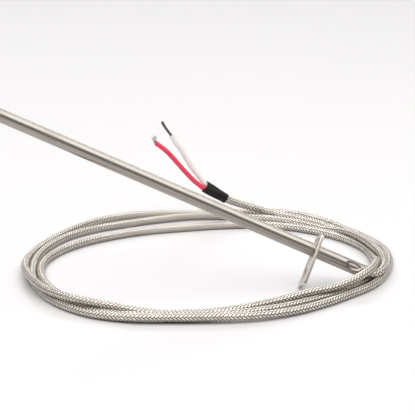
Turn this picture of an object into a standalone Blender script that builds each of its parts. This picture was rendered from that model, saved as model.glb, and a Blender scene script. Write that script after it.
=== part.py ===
"""A tube and wire thermocouple probe with its braided cable coiled on the table.

A thin steel sheath, closed and rounded at its tip, holds two insulated wires that are welded
together in a bead at the tip. A slotted mounting tab stands square on the sheath near its open
end, where an oval crimp presses the sheath's wall into the braided cable. The cable leaves the
sheath, lies in loose turns, and ends in a shrunk sleeve with a red and a white lead.

Metres, +Z up. The table is at z = 0. The probe's axis lies in a plane parallel to XZ, with its
tip up and to -X. The origin is on the table, under the middle of the sheath and its tab.
"""

import math

import bmesh
import bpy
from mathutils import Matrix, Vector

# The gap that is left between pieces that touch or nest
GAP = 0.0003

# Sheath
SHEATH_DIAMETER = 0.00635
SHEATH_WALL = 0.00071
SHEATH_SIDES = 36
INSERTION_LENGTH = 0.203  # from the middle of the tab to the tip
TAIL_LENGTH = 0.0278  # from the middle of the tab to the open end
DOME_STEPS = 7

# Crimp, an oval dimple across from the tab's long sides
CRIMP_FROM_END = 0.0076
CRIMP_LENGTH = 0.0072
CRIMP_WIDTH = 0.0044
CRIMP_DEPTH = 0.0009
CRIMP_FLOOR = 0.42  # the part of the oval that is pressed to the full depth
CRIMP_RINGS = 20

# Mounting tab
TAB_WIDTH = 0.011
TAB_THICKNESS = 0.0015
TAB_ABOVE_AXIS = 0.0078
TAB_BELOW_AXIS = 0.0183
TAB_CORNER = 0.0018
TAB_EDGE_BREAK = 0.00018
SLOT_LENGTH = 0.0072
SLOT_WIDTH = 0.0046
SLOT_END_MARGIN = 0.0021  # metal between the slot and the tab's lower end
ARC_STEPS = 6

# How the probe lies, its tip raised by the pitch and turned about its own axis by the roll
PITCH = math.radians(24.2)
ROLL = math.radians(30)

# Wires inside the sheath
CORE_DIAMETER = 0.0017
CONDUCTOR_DIAMETER = 0.0008
STRIPPED_AT_TIP = 0.012
BEAD_DIAMETER = 0.0018
CEMENT_FRONT = 0.0008  # cement ahead of the bead
CEMENT_LENGTH = 0.0095

# Braided cable
CABLE_DIAMETER = 0.0038
CABLE_GRIP = 0.016  # how far the braid reaches into the sheath
GRIP_SETBACK = 0.001  # the gripped end stops this far inside the sheath's mouth
EXIT_REACH = 0.004  # the straight stretch from the mouth to the coil

# Coil: the outer edge is one oval and the inner edge another, set towards the front
COIL_OUTER_WIDTH = 0.1838
COIL_OUTER_DEPTH = 0.1654
COIL_INNER_WIDTH = 0.1592
COIL_INNER_DEPTH = 0.1190
COIL_INNER_SHIFT = -0.0115
COIL_HEIGHT = 0.0071
COIL_STEPS = 72
COIL_EDGE = 0.0018
TAB_TO_COIL_X = -0.0506  # from the middle of the tab to the middle of the coil
TAB_TO_COIL_Y = 0.0318

# Free end of the cable, from the middle of the coil: where it leaves the turns, and the sleeve
FREE_END_ROUTE = [
    (0.0173, 0.0726, 0.0096),
    (0.0136, 0.0719, 0.0108),
    (0.0100, 0.0710, 0.0124),
]
SLEEVE_START = Vector((0.0112, 0.0713, 0.0118))
SLEEVE_END = Vector((-0.0014, 0.0700, 0.0188))
SLEEVE_WALL = 0.00035
SLEEVE_NECK = 0.34  # share of the sleeve that is shrunk on the cable
SLEEVE_MOUTH = 0.62  # where the sleeve has opened to its full width
SLEEVE_SIDES = 24
LEADS_START = 0.64

# Leads
LEAD_DIAMETER = 0.0025
STRAND_DIAMETER = 0.0011
RED_ROUTE = [
    (-0.0079, 0.0687, 0.0213),
    (-0.0142, 0.0690, 0.0291),
    (-0.0195, 0.0694, 0.0358),
    (-0.0247, 0.0698, 0.0406),
    (-0.0268, 0.0700, 0.0424),
]
RED_STRANDS_ROUTE = [
    (-0.0270, 0.0700, 0.0427),
    (-0.0277, 0.0700, 0.0441),
    (-0.0280, 0.0700, 0.0462),
]
WHITE_ROUTE = [
    (-0.0044, 0.0712, 0.0241),
    (-0.0089, 0.0710, 0.0301),
    (-0.0132, 0.0708, 0.0377),
    (-0.0163, 0.0706, 0.0426),
    (-0.0189, 0.0704, 0.0471),
]
WHITE_STRANDS_ROUTE = [
    (-0.0191, 0.0704, 0.0475),
    (-0.0206, 0.0703, 0.0498),
    (-0.0218, 0.0702, 0.0519),
    (-0.0229, 0.0701, 0.0543),
]

# Values that follow from the sizes
SHEATH_RADIUS = SHEATH_DIAMETER / 2
BORE_RADIUS = SHEATH_RADIUS - SHEATH_WALL
CABLE_RADIUS = CABLE_DIAMETER / 2
LEAD_RADIUS = LEAD_DIAMETER / 2
CRIMP_X = TAIL_LENGTH - CRIMP_FROM_END
GRIP_START_X = TAIL_LENGTH - CABLE_GRIP
GRIP_END_X = TAIL_LENGTH - GRIP_SETBACK
BEAD_X = -INSERTION_LENGTH + SHEATH_WALL + GAP + CEMENT_FRONT + GAP + BEAD_DIAMETER / 2
STRIP_X = -INSERTION_LENGTH + STRIPPED_AT_TIP
CORE_OFFSET = (CORE_DIAMETER + GAP) / 2


# Scene and materials


def clear_scene():
    for item in list(bpy.data.objects):
        bpy.data.objects.remove(item, do_unlink=True)


def make_collection(name):
    collection = bpy.data.collections.new(name)
    bpy.context.scene.collection.children.link(collection)
    return collection


clear_scene()
PROBE = make_collection("thermocouple_probe")
CUTTERS = make_collection("cutters")


def make_material(name, colour, roughness, metallic):
    material = bpy.data.materials.new(name)
    material.use_nodes = True
    shader = material.node_tree.nodes["Principled BSDF"]
    shader.inputs["Base Color"].default_value = (*colour, 1.0)
    shader.inputs["Roughness"].default_value = roughness
    shader.inputs["Metallic"].default_value = metallic
    return material


STEEL = make_material("drawn_steel", (0.55, 0.52, 0.49), 0.28, 1.0)
SHEET_STEEL = make_material("sheet_steel", (0.62, 0.60, 0.58), 0.32, 1.0)
BRAID = make_material("steel_braid", (0.52, 0.49, 0.46), 0.42, 0.9)
RED = make_material("red_insulation", (0.72, 0.03, 0.07), 0.38, 0.0)
WHITE = make_material("white_insulation", (0.86, 0.84, 0.81), 0.45, 0.0)
BLACK = make_material("black_shrink_tube", (0.02, 0.018, 0.016), 0.5, 0.0)
IRON = make_material("iron_conductor", (0.30, 0.29, 0.28), 0.45, 1.0)
ALLOY = make_material("alloy_conductor", (0.55, 0.50, 0.45), 0.35, 1.0)
CEMENT = make_material("ceramic_cement", (0.78, 0.75, 0.68), 0.85, 0.0)


# Where things lie


def tab_reach(across, down):
    """How far the tab's rounded outline reaches along a direction in its own plane."""
    length = math.hypot(across, down)
    across, down = abs(across) / length, down / length
    end = TAB_BELOW_AXIS if down > 0 else TAB_ABOVE_AXIS
    return (TAB_WIDTH / 2 - TAB_CORNER) * across + (end - TAB_CORNER) * abs(down) + TAB_CORNER


def probe_place():
    """The probe's place: the tab stands on the table, and the sheath and tab are centred."""
    half = TAB_THICKNESS / 2
    drop = tab_reach(math.sin(ROLL), math.cos(ROLL)) * math.cos(PITCH)
    height = drop + half * math.sin(PITCH)
    front = tab_reach(math.cos(ROLL), math.sin(ROLL))
    back = tab_reach(math.cos(ROLL), -math.sin(ROLL))
    tip = (INSERTION_LENGTH - SHEATH_RADIUS) * math.cos(PITCH) + SHEATH_RADIUS
    tail = TAIL_LENGTH * math.cos(PITCH) + SHEATH_RADIUS * math.sin(PITCH)
    return Vector(((tip - tail) / 2, (front - back) / 2, height))


TAB_CENTRE = probe_place()
# Along the probe: +X to the open end, +Z up the tab, -Y to the side with the crimp
PROBE_FRAME = (
    Matrix.Translation(TAB_CENTRE)
    @ Matrix.Rotation(PITCH, 4, "Y")
    @ Matrix.Rotation(-ROLL, 4, "X")
)
COIL_CENTRE = Vector((TAB_CENTRE.x + TAB_TO_COIL_X, TAB_CENTRE.y + TAB_TO_COIL_Y, 0.0))
COIL_FRAME = Matrix.Translation(COIL_CENTRE)


# Ways of making a piece


def smooth_step(value):
    value = min(max(value, 0.0), 1.0)
    return value * value * (3 - 2 * value)


def finish_mesh(name, bm, material, frame, collection=PROBE):
    """An object from a bmesh, with its frame applied, shaded smooth but for its sharp edges."""
    mesh = bpy.data.meshes.new(name)
    bm.to_mesh(mesh)
    bm.free()
    mesh.materials.append(material)
    mesh.shade_smooth()
    mesh.set_sharp_from_angle(angle=math.radians(35))
    item = bpy.data.objects.new(name, mesh)
    item.matrix_world = frame
    collection.objects.link(item)
    return item


def turned(profile, sides, closed):
    """A bmesh of a profile of (x, radius) points, turned about the X axis."""
    bm = bmesh.new()
    points = [bm.verts.new((x, 0.0, radius)) for x, radius in profile]
    pairs = list(zip(points, points[1:]))
    if closed:
        pairs.append((points[-1], points[0]))
    edges = [bm.edges.new(pair) for pair in pairs]
    bmesh.ops.spin(
        bm,
        geom=points + edges,
        cent=(0, 0, 0),
        axis=(1, 0, 0),
        angle=math.tau,
        steps=sides,
        use_merge=True,
    )
    bmesh.ops.remove_doubles(bm, verts=bm.verts, dist=0.000001)
    bmesh.ops.recalc_face_normals(bm, faces=bm.faces)
    return bm


def wire(name, points, radius, resolution, material, frame):
    """A round wire or cable along points, with filled ends."""
    data = bpy.data.curves.new(name, "CURVE")
    data.dimensions = "3D"
    data.bevel_depth = radius
    data.bevel_resolution = resolution
    data.use_fill_caps = True
    data.materials.append(material)
    spline = data.splines.new("POLY")
    spline.points.add(len(points) - 1)
    for point, place in zip(spline.points, points):
        point.co = (*place, 1.0)
    item = bpy.data.objects.new(name, data)
    item.matrix_world = frame
    PROBE.objects.link(item)
    return item


def smooth_route(route, spacing):
    """Points about spacing apart on the smooth curve through a route's own points."""
    knots = [Vector(place) for place in route]
    knots = [2 * knots[0] - knots[1], *knots, 2 * knots[-1] - knots[-2]]
    points = [knots[1]]
    for before, start, end, after in zip(knots, knots[1:], knots[2:], knots[3:]):
        steps = max(1, round((end - start).length / spacing))
        for step in range(1, steps + 1):
            t = step / steps
            blend = 2 * start + (end - before) * t
            blend += (2 * before - 5 * start + 4 * end - after) * t * t
            blend += (3 * start - before - 3 * end + after) * t * t * t
            points.append(blend / 2)
    return points


def as_cutter(item, name):
    """A mesh copy of a curve's tube with its caps welded, for a Boolean to cut with."""
    bpy.context.view_layer.update()
    depsgraph = bpy.context.evaluated_depsgraph_get()
    mesh = bpy.data.meshes.new_from_object(item.evaluated_get(depsgraph))
    bm = bmesh.new()
    bm.from_mesh(mesh)
    bmesh.ops.remove_doubles(bm, verts=bm.verts, dist=0.000001)
    bm.to_mesh(mesh)
    bm.free()
    cutter = bpy.data.objects.new(name, mesh)
    cutter.matrix_world = item.matrix_world.copy()
    bpy.data.objects.remove(item, do_unlink=True)
    CUTTERS.objects.link(cutter)
    hide_cutter(cutter)
    return cutter


def hide_cutter(cutter):
    cutter.hide_render = True
    cutter.display_type = "WIRE"


def cut(item, cutter):
    boolean = item.modifiers.new(f"cut_{cutter.name}", "BOOLEAN")
    boolean.operation = "DIFFERENCE"
    boolean.solver = "EXACT"
    boolean.object = cutter


# Sheath


def crimp_depth(x, y, z, spread):
    """How deep the crimp presses at a place, its oval widened all round by the spread."""
    along = (x - CRIMP_X) / (CRIMP_LENGTH / 2 + spread)
    across = math.atan2(z, -y) * SHEATH_RADIUS / (CRIMP_WIDTH / 2 + spread)
    reach = math.hypot(along, across)
    return CRIMP_DEPTH * (1 - smooth_step((reach - CRIMP_FLOOR) / (1 - CRIMP_FLOOR)))


def press_crimp(bm, spread, slack):
    """Moves a tube's wall in where the crimp presses it, once the slack is taken up."""
    for vert in bm.verts:
        radius = math.hypot(vert.co.y, vert.co.z)
        depth = max(crimp_depth(*vert.co, spread) - slack, 0.0)
        if radius > 0 and depth > 0:
            vert.co.y *= 1 - depth / radius
            vert.co.z *= 1 - depth / radius


def crimp_stations():
    """Places along the probe, close together where the crimp is."""
    start = CRIMP_X - CRIMP_LENGTH / 2
    return [start + CRIMP_LENGTH * step / CRIMP_RINGS for step in range(CRIMP_RINGS + 1)]


def make_sheath():
    """A drawn tube, closed by a rounded weld at the tip and open at the cable's end."""
    profile = []
    for step in range(DOME_STEPS + 1):
        turn = math.pi / 2 * step / DOME_STEPS
        x = -INSERTION_LENGTH + SHEATH_RADIUS * (1 - math.cos(turn))
        profile.append((x, SHEATH_RADIUS * math.sin(turn)))
    profile += [(x, SHEATH_RADIUS) for x in (0.0, *crimp_stations(), TAIL_LENGTH)]
    bm = turned(profile, SHEATH_SIDES, closed=False)
    press_crimp(bm, spread=0.0, slack=0.0)
    item = finish_mesh("sheath_tube", bm, STEEL, PROBE_FRAME)
    wall = item.modifiers.new("wall", "SOLIDIFY")
    wall.thickness = SHEATH_WALL
    wall.offset = -1
    return item


# Mounting tab


def corner_arc(centre, radius, start):
    """Points of a quarter turn about a corner's centre, from a start angle."""
    angles = [start + math.pi / 2 * step / ARC_STEPS for step in range(ARC_STEPS + 1)]
    return [
        (centre[0] + radius * math.cos(angle), centre[1] + radius * math.sin(angle))
        for angle in angles
    ]


def rounded_outline(left, right, bottom, top, radius):
    low, high = bottom + radius, top - radius
    west, east = left + radius, right - radius
    outline = corner_arc((east, high), radius, 0.0)
    outline += corner_arc((west, high), radius, math.pi / 2)
    outline += corner_arc((west, low), radius, math.pi)
    outline += corner_arc((east, low), radius, math.pi * 1.5)
    return outline


def ring_outline(radius, count):
    return [
        (radius * math.cos(math.tau * k / count), radius * math.sin(math.tau * k / count))
        for k in range(count)
    ]


def make_tab():
    """A stamped strip with a hole for the sheath and a slot for a screw, its edges broken."""
    slot_low = -TAB_BELOW_AXIS + SLOT_END_MARGIN
    half_slot = SLOT_WIDTH / 2
    outlines = [
        rounded_outline(-TAB_WIDTH / 2, TAB_WIDTH / 2, -TAB_BELOW_AXIS, TAB_ABOVE_AXIS, TAB_CORNER),
        ring_outline(SHEATH_RADIUS + GAP, SHEATH_SIDES),
        rounded_outline(-half_slot, half_slot, slot_low, slot_low + SLOT_LENGTH, half_slot * 0.999),
    ]
    data = bpy.data.curves.new("mounting_tab", "CURVE")
    data.dimensions = "2D"
    data.fill_mode = "BOTH"
    data.extrude = TAB_THICKNESS / 2
    data.materials.append(SHEET_STEEL)
    for outline in outlines:
        spline = data.splines.new("POLY")
        spline.points.add(len(outline) - 1)
        spline.use_cyclic_u = True
        for point, (x, y) in zip(spline.points, outline):
            point.co = (x, y, 0.0, 1.0)
    item = bpy.data.objects.new("mounting_tab", data)
    PROBE.objects.link(item)
    # The strip's width goes along the probe's Y, its length along Z and its thickness along X
    stand = Matrix(((0, 0, 1, 0), (1, 0, 0, 0), (0, 1, 0, 0), (0, 0, 0, 1)))
    item.matrix_world = PROBE_FRAME @ stand
    weld = item.modifiers.new("weld", "WELD")
    weld.merge_threshold = 0.00001
    edges = item.modifiers.new("edges", "BEVEL")
    edges.width = TAB_EDGE_BREAK
    edges.segments = 1
    edges.limit_method = "ANGLE"
    edges.angle_limit = math.radians(50)
    return item


# Inside the sheath


def make_gripped_cable():
    """The end of the braided cable inside the sheath, dented by the crimp."""
    # The wall's own thickness widens the dimple on its inside
    slack = BORE_RADIUS - CABLE_RADIUS - GAP
    stations = [GRIP_START_X, *crimp_stations(), GRIP_END_X]
    profile = [(GRIP_START_X, 0.0)]
    profile += [(x, CABLE_RADIUS) for x in stations]
    profile.append((GRIP_END_X, 0.0))
    bm = turned(profile, 24, closed=False)
    press_crimp(bm, spread=SHEATH_WALL, slack=slack)
    return finish_mesh("cable_gripped_end", bm, BRAID, PROBE_FRAME)


def core_route(side):
    return [(GRIP_START_X - GAP, 0.0, side * CORE_OFFSET), (STRIP_X, 0.0, side * CORE_OFFSET)]


def conductor_route(side):
    """A bare conductor from the end of its insulation to the bead."""
    end_x = BEAD_X + BEAD_DIAMETER / 2 + GAP
    near = side * (CONDUCTOR_DIAMETER + GAP) / 2
    run = end_x - STRIP_X
    return [
        (STRIP_X - GAP, 0.0, side * CORE_OFFSET),
        (STRIP_X + run * 0.3, 0.0, side * CORE_OFFSET),
        (STRIP_X + run * 0.65, 0.0, (side * CORE_OFFSET + near) / 2),
        (end_x, 0.0, near),
    ]


def make_bead():
    bm = bmesh.new()
    bmesh.ops.create_uvsphere(
        bm,
        u_segments=16,
        v_segments=10,
        radius=BEAD_DIAMETER / 2,
        matrix=Matrix.Translation((BEAD_X, 0, 0)),
    )
    return finish_mesh("junction_bead", bm, ALLOY, PROBE_FRAME)


def make_cement():
    """Cement cast round the bead and the bare conductors, in the sheath's rounded tip."""
    radius = BORE_RADIUS - GAP
    front = -INSERTION_LENGTH + SHEATH_WALL + GAP
    profile = []
    for step in range(DOME_STEPS + 1):
        turn = math.pi / 2 * step / DOME_STEPS
        profile.append((front + radius * (1 - math.cos(turn)), radius * math.sin(turn)))
    profile.append((front + CEMENT_LENGTH, radius))
    profile.append((front + CEMENT_LENGTH, 0.0))
    item = finish_mesh("tip_cement", turned(profile, 24, closed=False), CEMENT, PROBE_FRAME)
    bead_room = bmesh.new()
    bmesh.ops.create_uvsphere(
        bead_room,
        u_segments=16,
        v_segments=10,
        radius=BEAD_DIAMETER / 2 + GAP,
        matrix=Matrix.Translation((BEAD_X, 0, 0)),
    )
    bead_room = finish_mesh("bead_room", bead_room, CEMENT, PROBE_FRAME, CUTTERS)
    hide_cutter(bead_room)
    cut(item, bead_room)
    for side, name in ((1, "white_room"), (-1, "red_room")):
        room = CONDUCTOR_DIAMETER / 2 + GAP
        route = conductor_route(side)
        # The room starts inside the bead's and runs out of the cement's back
        route[-1] = (BEAD_X, 0.0, route[-1][2])
        tube = wire(name, route, room, 2, CEMENT, PROBE_FRAME)
        cut(item, as_cutter(tube, f"{name}_cutter"))
    return item


def make_inner_wires():
    for side, colour, insulation, metal in ((1, "white", WHITE, IRON), (-1, "red", RED, ALLOY)):
        core = core_route(side)
        wire(f"{colour}_core_wire", core, CORE_DIAMETER / 2, 3, insulation, PROBE_FRAME)
        bare = conductor_route(side)
        wire(f"{colour}_conductor_tip", bare, CONDUCTOR_DIAMETER / 2, 2, metal, PROBE_FRAME)


# Cable outside the sheath


def make_exit():
    """The straight stretch of cable between the sheath's mouth and the coil."""
    route = [(GRIP_END_X + GAP, 0, 0), (TAIL_LENGTH + EXIT_REACH / 2, 0, 0)]
    route.append((TAIL_LENGTH + EXIT_REACH - GAP, 0, 0))
    return wire("cable_exit", route, CABLE_RADIUS, 2, BRAID, PROBE_FRAME)


def make_coil():
    """The outer shape of the cable's turns, with a notch for the sheath's end."""
    inner, outer = COIL_INNER_WIDTH / 2, COIL_OUTER_WIDTH / 2
    section = rounded_outline(inner, outer, 0.0, COIL_HEIGHT, COIL_EDGE)[:: ARC_STEPS // 2]
    bm = bmesh.new()
    points = [bm.verts.new((x, 0.0, z)) for x, z in section]
    edges = [bm.edges.new((points[k - 1], points[k])) for k in range(len(points))]
    bmesh.ops.spin(
        bm,
        geom=points + edges,
        cent=(0, 0, 0),
        axis=(0, 0, 1),
        angle=math.tau,
        steps=COIL_STEPS,
        use_merge=True,
    )
    for vert in bm.verts:
        radius = math.hypot(vert.co.x, vert.co.y)
        turn = math.atan2(vert.co.y, vert.co.x)
        share = (radius - inner) / (outer - inner)
        inside = COIL_INNER_DEPTH / 2 * math.sin(turn) + COIL_INNER_SHIFT
        outside = COIL_OUTER_DEPTH / 2 * math.sin(turn)
        vert.co.y = inside + (outside - inside) * share
    bmesh.ops.recalc_face_normals(bm, faces=bm.faces)
    item = finish_mesh("cable_coil", bm, BRAID, COIL_FRAME)
    end = TAIL_LENGTH + EXIT_REACH
    radius = SHEATH_RADIUS + GAP
    start = CRIMP_X - CRIMP_LENGTH
    notch = turned([(start, 0), (start, radius), (end, radius), (end, 0)], 32, closed=False)
    notch = finish_mesh("sheath_notch", notch, BRAID, PROBE_FRAME, CUTTERS)
    hide_cutter(notch)
    cut(item, notch)
    return item


def make_free_end():
    """The cable's last stretch, from the top of the coil into the shrunk sleeve."""
    axis = SLEEVE_END - SLEEVE_START
    end = SLEEVE_START + axis * (LEADS_START - GAP / axis.length)
    route = [*FREE_END_ROUTE, SLEEVE_START + axis * 0.3, end]
    points = smooth_route(route, CABLE_DIAMETER)
    return wire("cable_free_end", points, CABLE_RADIUS, 2, BRAID, COIL_FRAME)


def sleeve_frame():
    """The sleeve's own frame: +X along it, from the cable to the leads."""
    turn = (SLEEVE_END - SLEEVE_START).to_track_quat("X", "Z").to_matrix().to_4x4()
    return COIL_FRAME @ Matrix.Translation(SLEEVE_START) @ turn


def make_sleeve():
    """Heat-shrink tube, tight on the cable and open round the two leads."""
    length = (SLEEVE_END - SLEEVE_START).length
    narrow = CABLE_RADIUS + GAP + SLEEVE_WALL
    wide = LEAD_DIAMETER + GAP * 1.5 + SLEEVE_WALL
    profile = []
    for step in range(13):
        share = step / 12
        opening = smooth_step((share - SLEEVE_NECK) / (SLEEVE_MOUTH - SLEEVE_NECK))
        profile.append((length * share, narrow + (wide - narrow) * opening))
    bm = turned(profile, SLEEVE_SIDES, closed=False)
    item = finish_mesh("heat_shrink_sleeve", bm, BLACK, sleeve_frame())
    wall = item.modifiers.new("wall", "SOLIDIFY")
    wall.thickness = SLEEVE_WALL
    wall.offset = -1
    return item


def make_lead(name, side, route, material):
    """An insulated lead from inside the sleeve, along its route."""
    axis = SLEEVE_END - SLEEVE_START
    # The leads lie one before the other and one above the other in the sleeve's mouth
    apart = Vector((0, 1, 0)).cross(axis).normalized() + Vector((0, 1, 0))
    offset = apart.normalized() * side * (LEAD_DIAMETER + GAP) / 2
    start = SLEEVE_START + axis * LEADS_START + offset
    knots = [start, SLEEVE_END + offset, *route]
    wire(name, smooth_route(knots, LEAD_DIAMETER * 1.2), LEAD_RADIUS, 2, material, COIL_FRAME)


make_sheath()
make_tab()
make_gripped_cable()
make_inner_wires()
make_bead()
make_cement()
make_exit()
make_coil()
make_free_end()
make_sleeve()
make_lead("red_lead", -1, RED_ROUTE, RED)
make_lead("white_lead", 1, WHITE_ROUTE, WHITE)
wire("red_lead_strands", RED_STRANDS_ROUTE, STRAND_DIAMETER / 2, 2, ALLOY, COIL_FRAME)
wire("white_lead_strands", WHITE_STRANDS_ROUTE, STRAND_DIAMETER / 2, 2, IRON, COIL_FRAME)
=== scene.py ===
"""A wire thermocouple in a thin steel sheath, with its braided cable in loose turns on the table.

The sections follow the object from the cable to its stripped leads, and then the studio it
stands in. Lengths are in metres, +Z is up and the table is at z = 0.
"""

import math
import random

import bmesh
import bpy
import numpy as np
from mathutils import Matrix, Vector


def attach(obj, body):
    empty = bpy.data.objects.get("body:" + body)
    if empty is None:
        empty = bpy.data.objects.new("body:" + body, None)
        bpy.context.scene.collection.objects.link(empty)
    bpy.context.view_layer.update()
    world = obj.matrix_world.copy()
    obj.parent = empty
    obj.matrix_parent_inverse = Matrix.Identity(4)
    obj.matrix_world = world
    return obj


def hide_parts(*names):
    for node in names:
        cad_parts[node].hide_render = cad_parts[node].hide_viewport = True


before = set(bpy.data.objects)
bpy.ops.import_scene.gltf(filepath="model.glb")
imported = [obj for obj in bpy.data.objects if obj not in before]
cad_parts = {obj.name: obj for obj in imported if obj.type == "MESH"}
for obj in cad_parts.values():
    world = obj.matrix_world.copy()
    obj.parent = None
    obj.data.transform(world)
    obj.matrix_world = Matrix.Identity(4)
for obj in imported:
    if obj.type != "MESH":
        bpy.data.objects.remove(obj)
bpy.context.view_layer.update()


# Camera

# A long lens in front of the coil of cable and a little above it, as for a catalogue shot. The
# places along the cable are measured from the same middle of the coil.

coil_centre = Vector((0.02879048, 0.034425, 0.0))
camera_distance = 0.8535
camera_height = 0.2856
camera_tilt = math.radians(73.23)
camera_data = bpy.data.cameras.new("camera")
camera_data.sensor_fit = "HORIZONTAL"
camera_data.sensor_width = 36
camera_data.lens = 159.3
camera = bpy.data.objects.new("camera", camera_data)
camera.location = coil_centre + Vector((0, -camera_distance, camera_height))
camera.rotation_euler = (camera_tilt, 0, 0)
bpy.context.scene.collection.objects.link(camera)
bpy.context.scene.camera = camera


# Braided cable

# Two insulated wires under a sleeve of fine stainless wire, braided on a machine with sixteen
# carriers. It leaves the sheath's mouth, lies in four loose turns, and its end lifts off them.

cable_diameter = 0.0038
cable_step = 0.0012
cable_sides = 20
sheath_mouth = Vector((0.1047474, 0.002625, 0.0052745))
sheath_radius = 0.003175
sheath_lean = math.radians(24.2)
ribbons_round_cable = 8
braid_pitch = 0.0018
wires_in_ribbon = 5
wire_ridge = 0.16
wire_bright = (1.0, 0.95, 0.885, 1)
wire_dull = (0.76, 0.69, 0.62, 1)
# Painted shade: the two dark colours below stand for the shadow in the braid's hollows, between
# single wires and between the ribbons
painted_shade_between_wires = (0.030, 0.024, 0.019, 1)
painted_shade_between_ribbons = (0.03, 0.025, 0.022, 1)
# Places along the cable, from the middle of the coil: x and y, and the height of the cable's
# middle where it doesn't lie on the table
out_of_mouth = [(0.0753, -0.0318, 0.0056), (0.0772, -0.0318, 0.0051)]
first_turn = [
    (0.0760, -0.0318, 0.0054), (0.0778, -0.0317, 0.0051), (0.0803, -0.0304, 0.0054),
    (0.0823, -0.0270, 0.0057), (0.0833, -0.0216, 0.0058), (0.0842, -0.0145, 0.0058),
    (0.0848, -0.0080, 0.0058), (0.0845, -0.0020, 0.0058), (0.0838, 0.0030, 0.0058),
    (0.0824, 0.0080, 0.0058), (0.0806, 0.0130, 0.0057), (0.0784, 0.0185, 0.0055),
    (0.0756, 0.0250, 0.0050), (0.0718, 0.0325, 0.0040), (0.0676, 0.0395, 0.0028),
    (0.0630, 0.0460, 0.0020), (0.0580, 0.0506), (0.0525, 0.0555), (0.0470, 0.0603),
    (0.0410, 0.0642), (0.0340, 0.0674), (0.0260, 0.0696), (0.0160, 0.0710), (0.0040, 0.0724),
    (-0.0050, 0.0726), (-0.0150, 0.0706), (-0.0250, 0.0662), (-0.0350, 0.0618), (-0.0455, 0.0570),
    (-0.0560, 0.0510), (-0.0660, 0.0425), (-0.0730, 0.0345), (-0.0776, 0.0270), (-0.0807, 0.0185),
    (-0.0828, 0.0090), (-0.0842, -0.0020), (-0.0842, -0.0140), (-0.0834, -0.0250),
    (-0.0816, -0.0340), (-0.0790, -0.0435), (-0.0748, -0.0530), (-0.0676, -0.0637),
    (-0.0580, -0.0734),
]
second_turn = [
    (-0.0486, -0.0800, 0.0023), (-0.0394, -0.0832, 0.0025), (-0.0303, -0.0847, 0.0028),
    (-0.0212, -0.0850, 0.0029), (-0.0122, -0.0848, 0.0029), (-0.0032, -0.0846, 0.0029),
    (0.0059, -0.0844, 0.0029), (0.0149, -0.0834, 0.0028), (0.0285, -0.0798, 0.0025),
    (0.0376, -0.0757, 0.0022), (0.0460, -0.0690, 0.0020), (0.0504, -0.0659), (0.0551, -0.0619),
    (0.0600, -0.0573), (0.0650, -0.0523), (0.0699, -0.0462), (0.0750, -0.0383), (0.0798, -0.0302),
    (0.0828, -0.0244), (0.0861, -0.0149), (0.0883, -0.0042), (0.0889, 0.0070), (0.0876, 0.0175),
    (0.0849, 0.0260), (0.0810, 0.0325), (0.0765, 0.0400), (0.0683, 0.0530), (0.0588, 0.0660),
    (0.0490, 0.0740), (0.0387, 0.0789), (0.0300, 0.0804), (0.0200, 0.0796), (0.0100, 0.0776),
    (-0.0020, 0.0766), (-0.0140, 0.0767), (-0.0250, 0.0770), (-0.0353, 0.0754), (-0.0455, 0.0718),
    (-0.0555, 0.0650), (-0.0648, 0.0555), (-0.0726, 0.0430), (-0.0780, 0.0320), (-0.0822, 0.0220),
    (-0.0853, 0.0130), (-0.0876, 0.0040, 0.0021), (-0.0882, -0.0080, 0.0030),
    (-0.0872, -0.0200, 0.0044), (-0.0852, -0.0300, 0.0053), (-0.0812, -0.0423, 0.0057),
    (-0.0757, -0.0528, 0.0057), (-0.0677, -0.0628, 0.0057), (-0.0580, -0.0705, 0.0056),
    (-0.0486, -0.0736, 0.0047), (-0.0394, -0.0756, 0.0037), (-0.0302, -0.0770, 0.0025),
    (-0.0210, -0.0774), (-0.0120, -0.0772), (-0.0030, -0.0768),
]
third_turn = [
    (0.0059, -0.0752), (0.0150, -0.0714, 0.0023), (0.0240, -0.0677, 0.0028),
    (0.0330, -0.0638, 0.0033), (0.0424, -0.0598, 0.0040), (0.0524, -0.0554, 0.0050),
    (0.0621, -0.0492, 0.0056), (0.0671, -0.0458, 0.0057), (0.0719, -0.0420, 0.0064),
    (0.0756, -0.0374, 0.0079), (0.0782, -0.0315, 0.0092), (0.0798, -0.0254, 0.0091),
    (0.0806, -0.0175, 0.0070), (0.0810, -0.0090, 0.0042), (0.0813, -0.0010, 0.0023),
    (0.0809, 0.0080), (0.0780, 0.0190), (0.0730, 0.0295), (0.0665, 0.0380), (0.0580, 0.0446),
    (0.0484, 0.0504), (0.0413, 0.0536), (0.0330, 0.0562), (0.0227, 0.0572), (0.0120, 0.0566),
    (0.0020, 0.0550), (-0.0090, 0.0520), (-0.0250, 0.0489), (-0.0352, 0.0445), (-0.0453, 0.0394),
    (-0.0553, 0.0330), (-0.0648, 0.0245), (-0.0725, 0.0145), (-0.0778, 0.0040), (-0.0803, -0.0080),
    (-0.0799, -0.0200), (-0.0773, -0.0320), (-0.0730, -0.0440), (-0.0658, -0.0560),
    (-0.0565, -0.0675), (-0.0475, -0.0760, 0.0020), (-0.0386, -0.0795, 0.0022),
    (-0.0300, -0.0809, 0.0023), (-0.0210, -0.0812, 0.0024), (-0.0120, -0.0810, 0.0024),
    (-0.0030, -0.0807, 0.0024), (0.0059, -0.0804, 0.0024),
]
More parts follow.
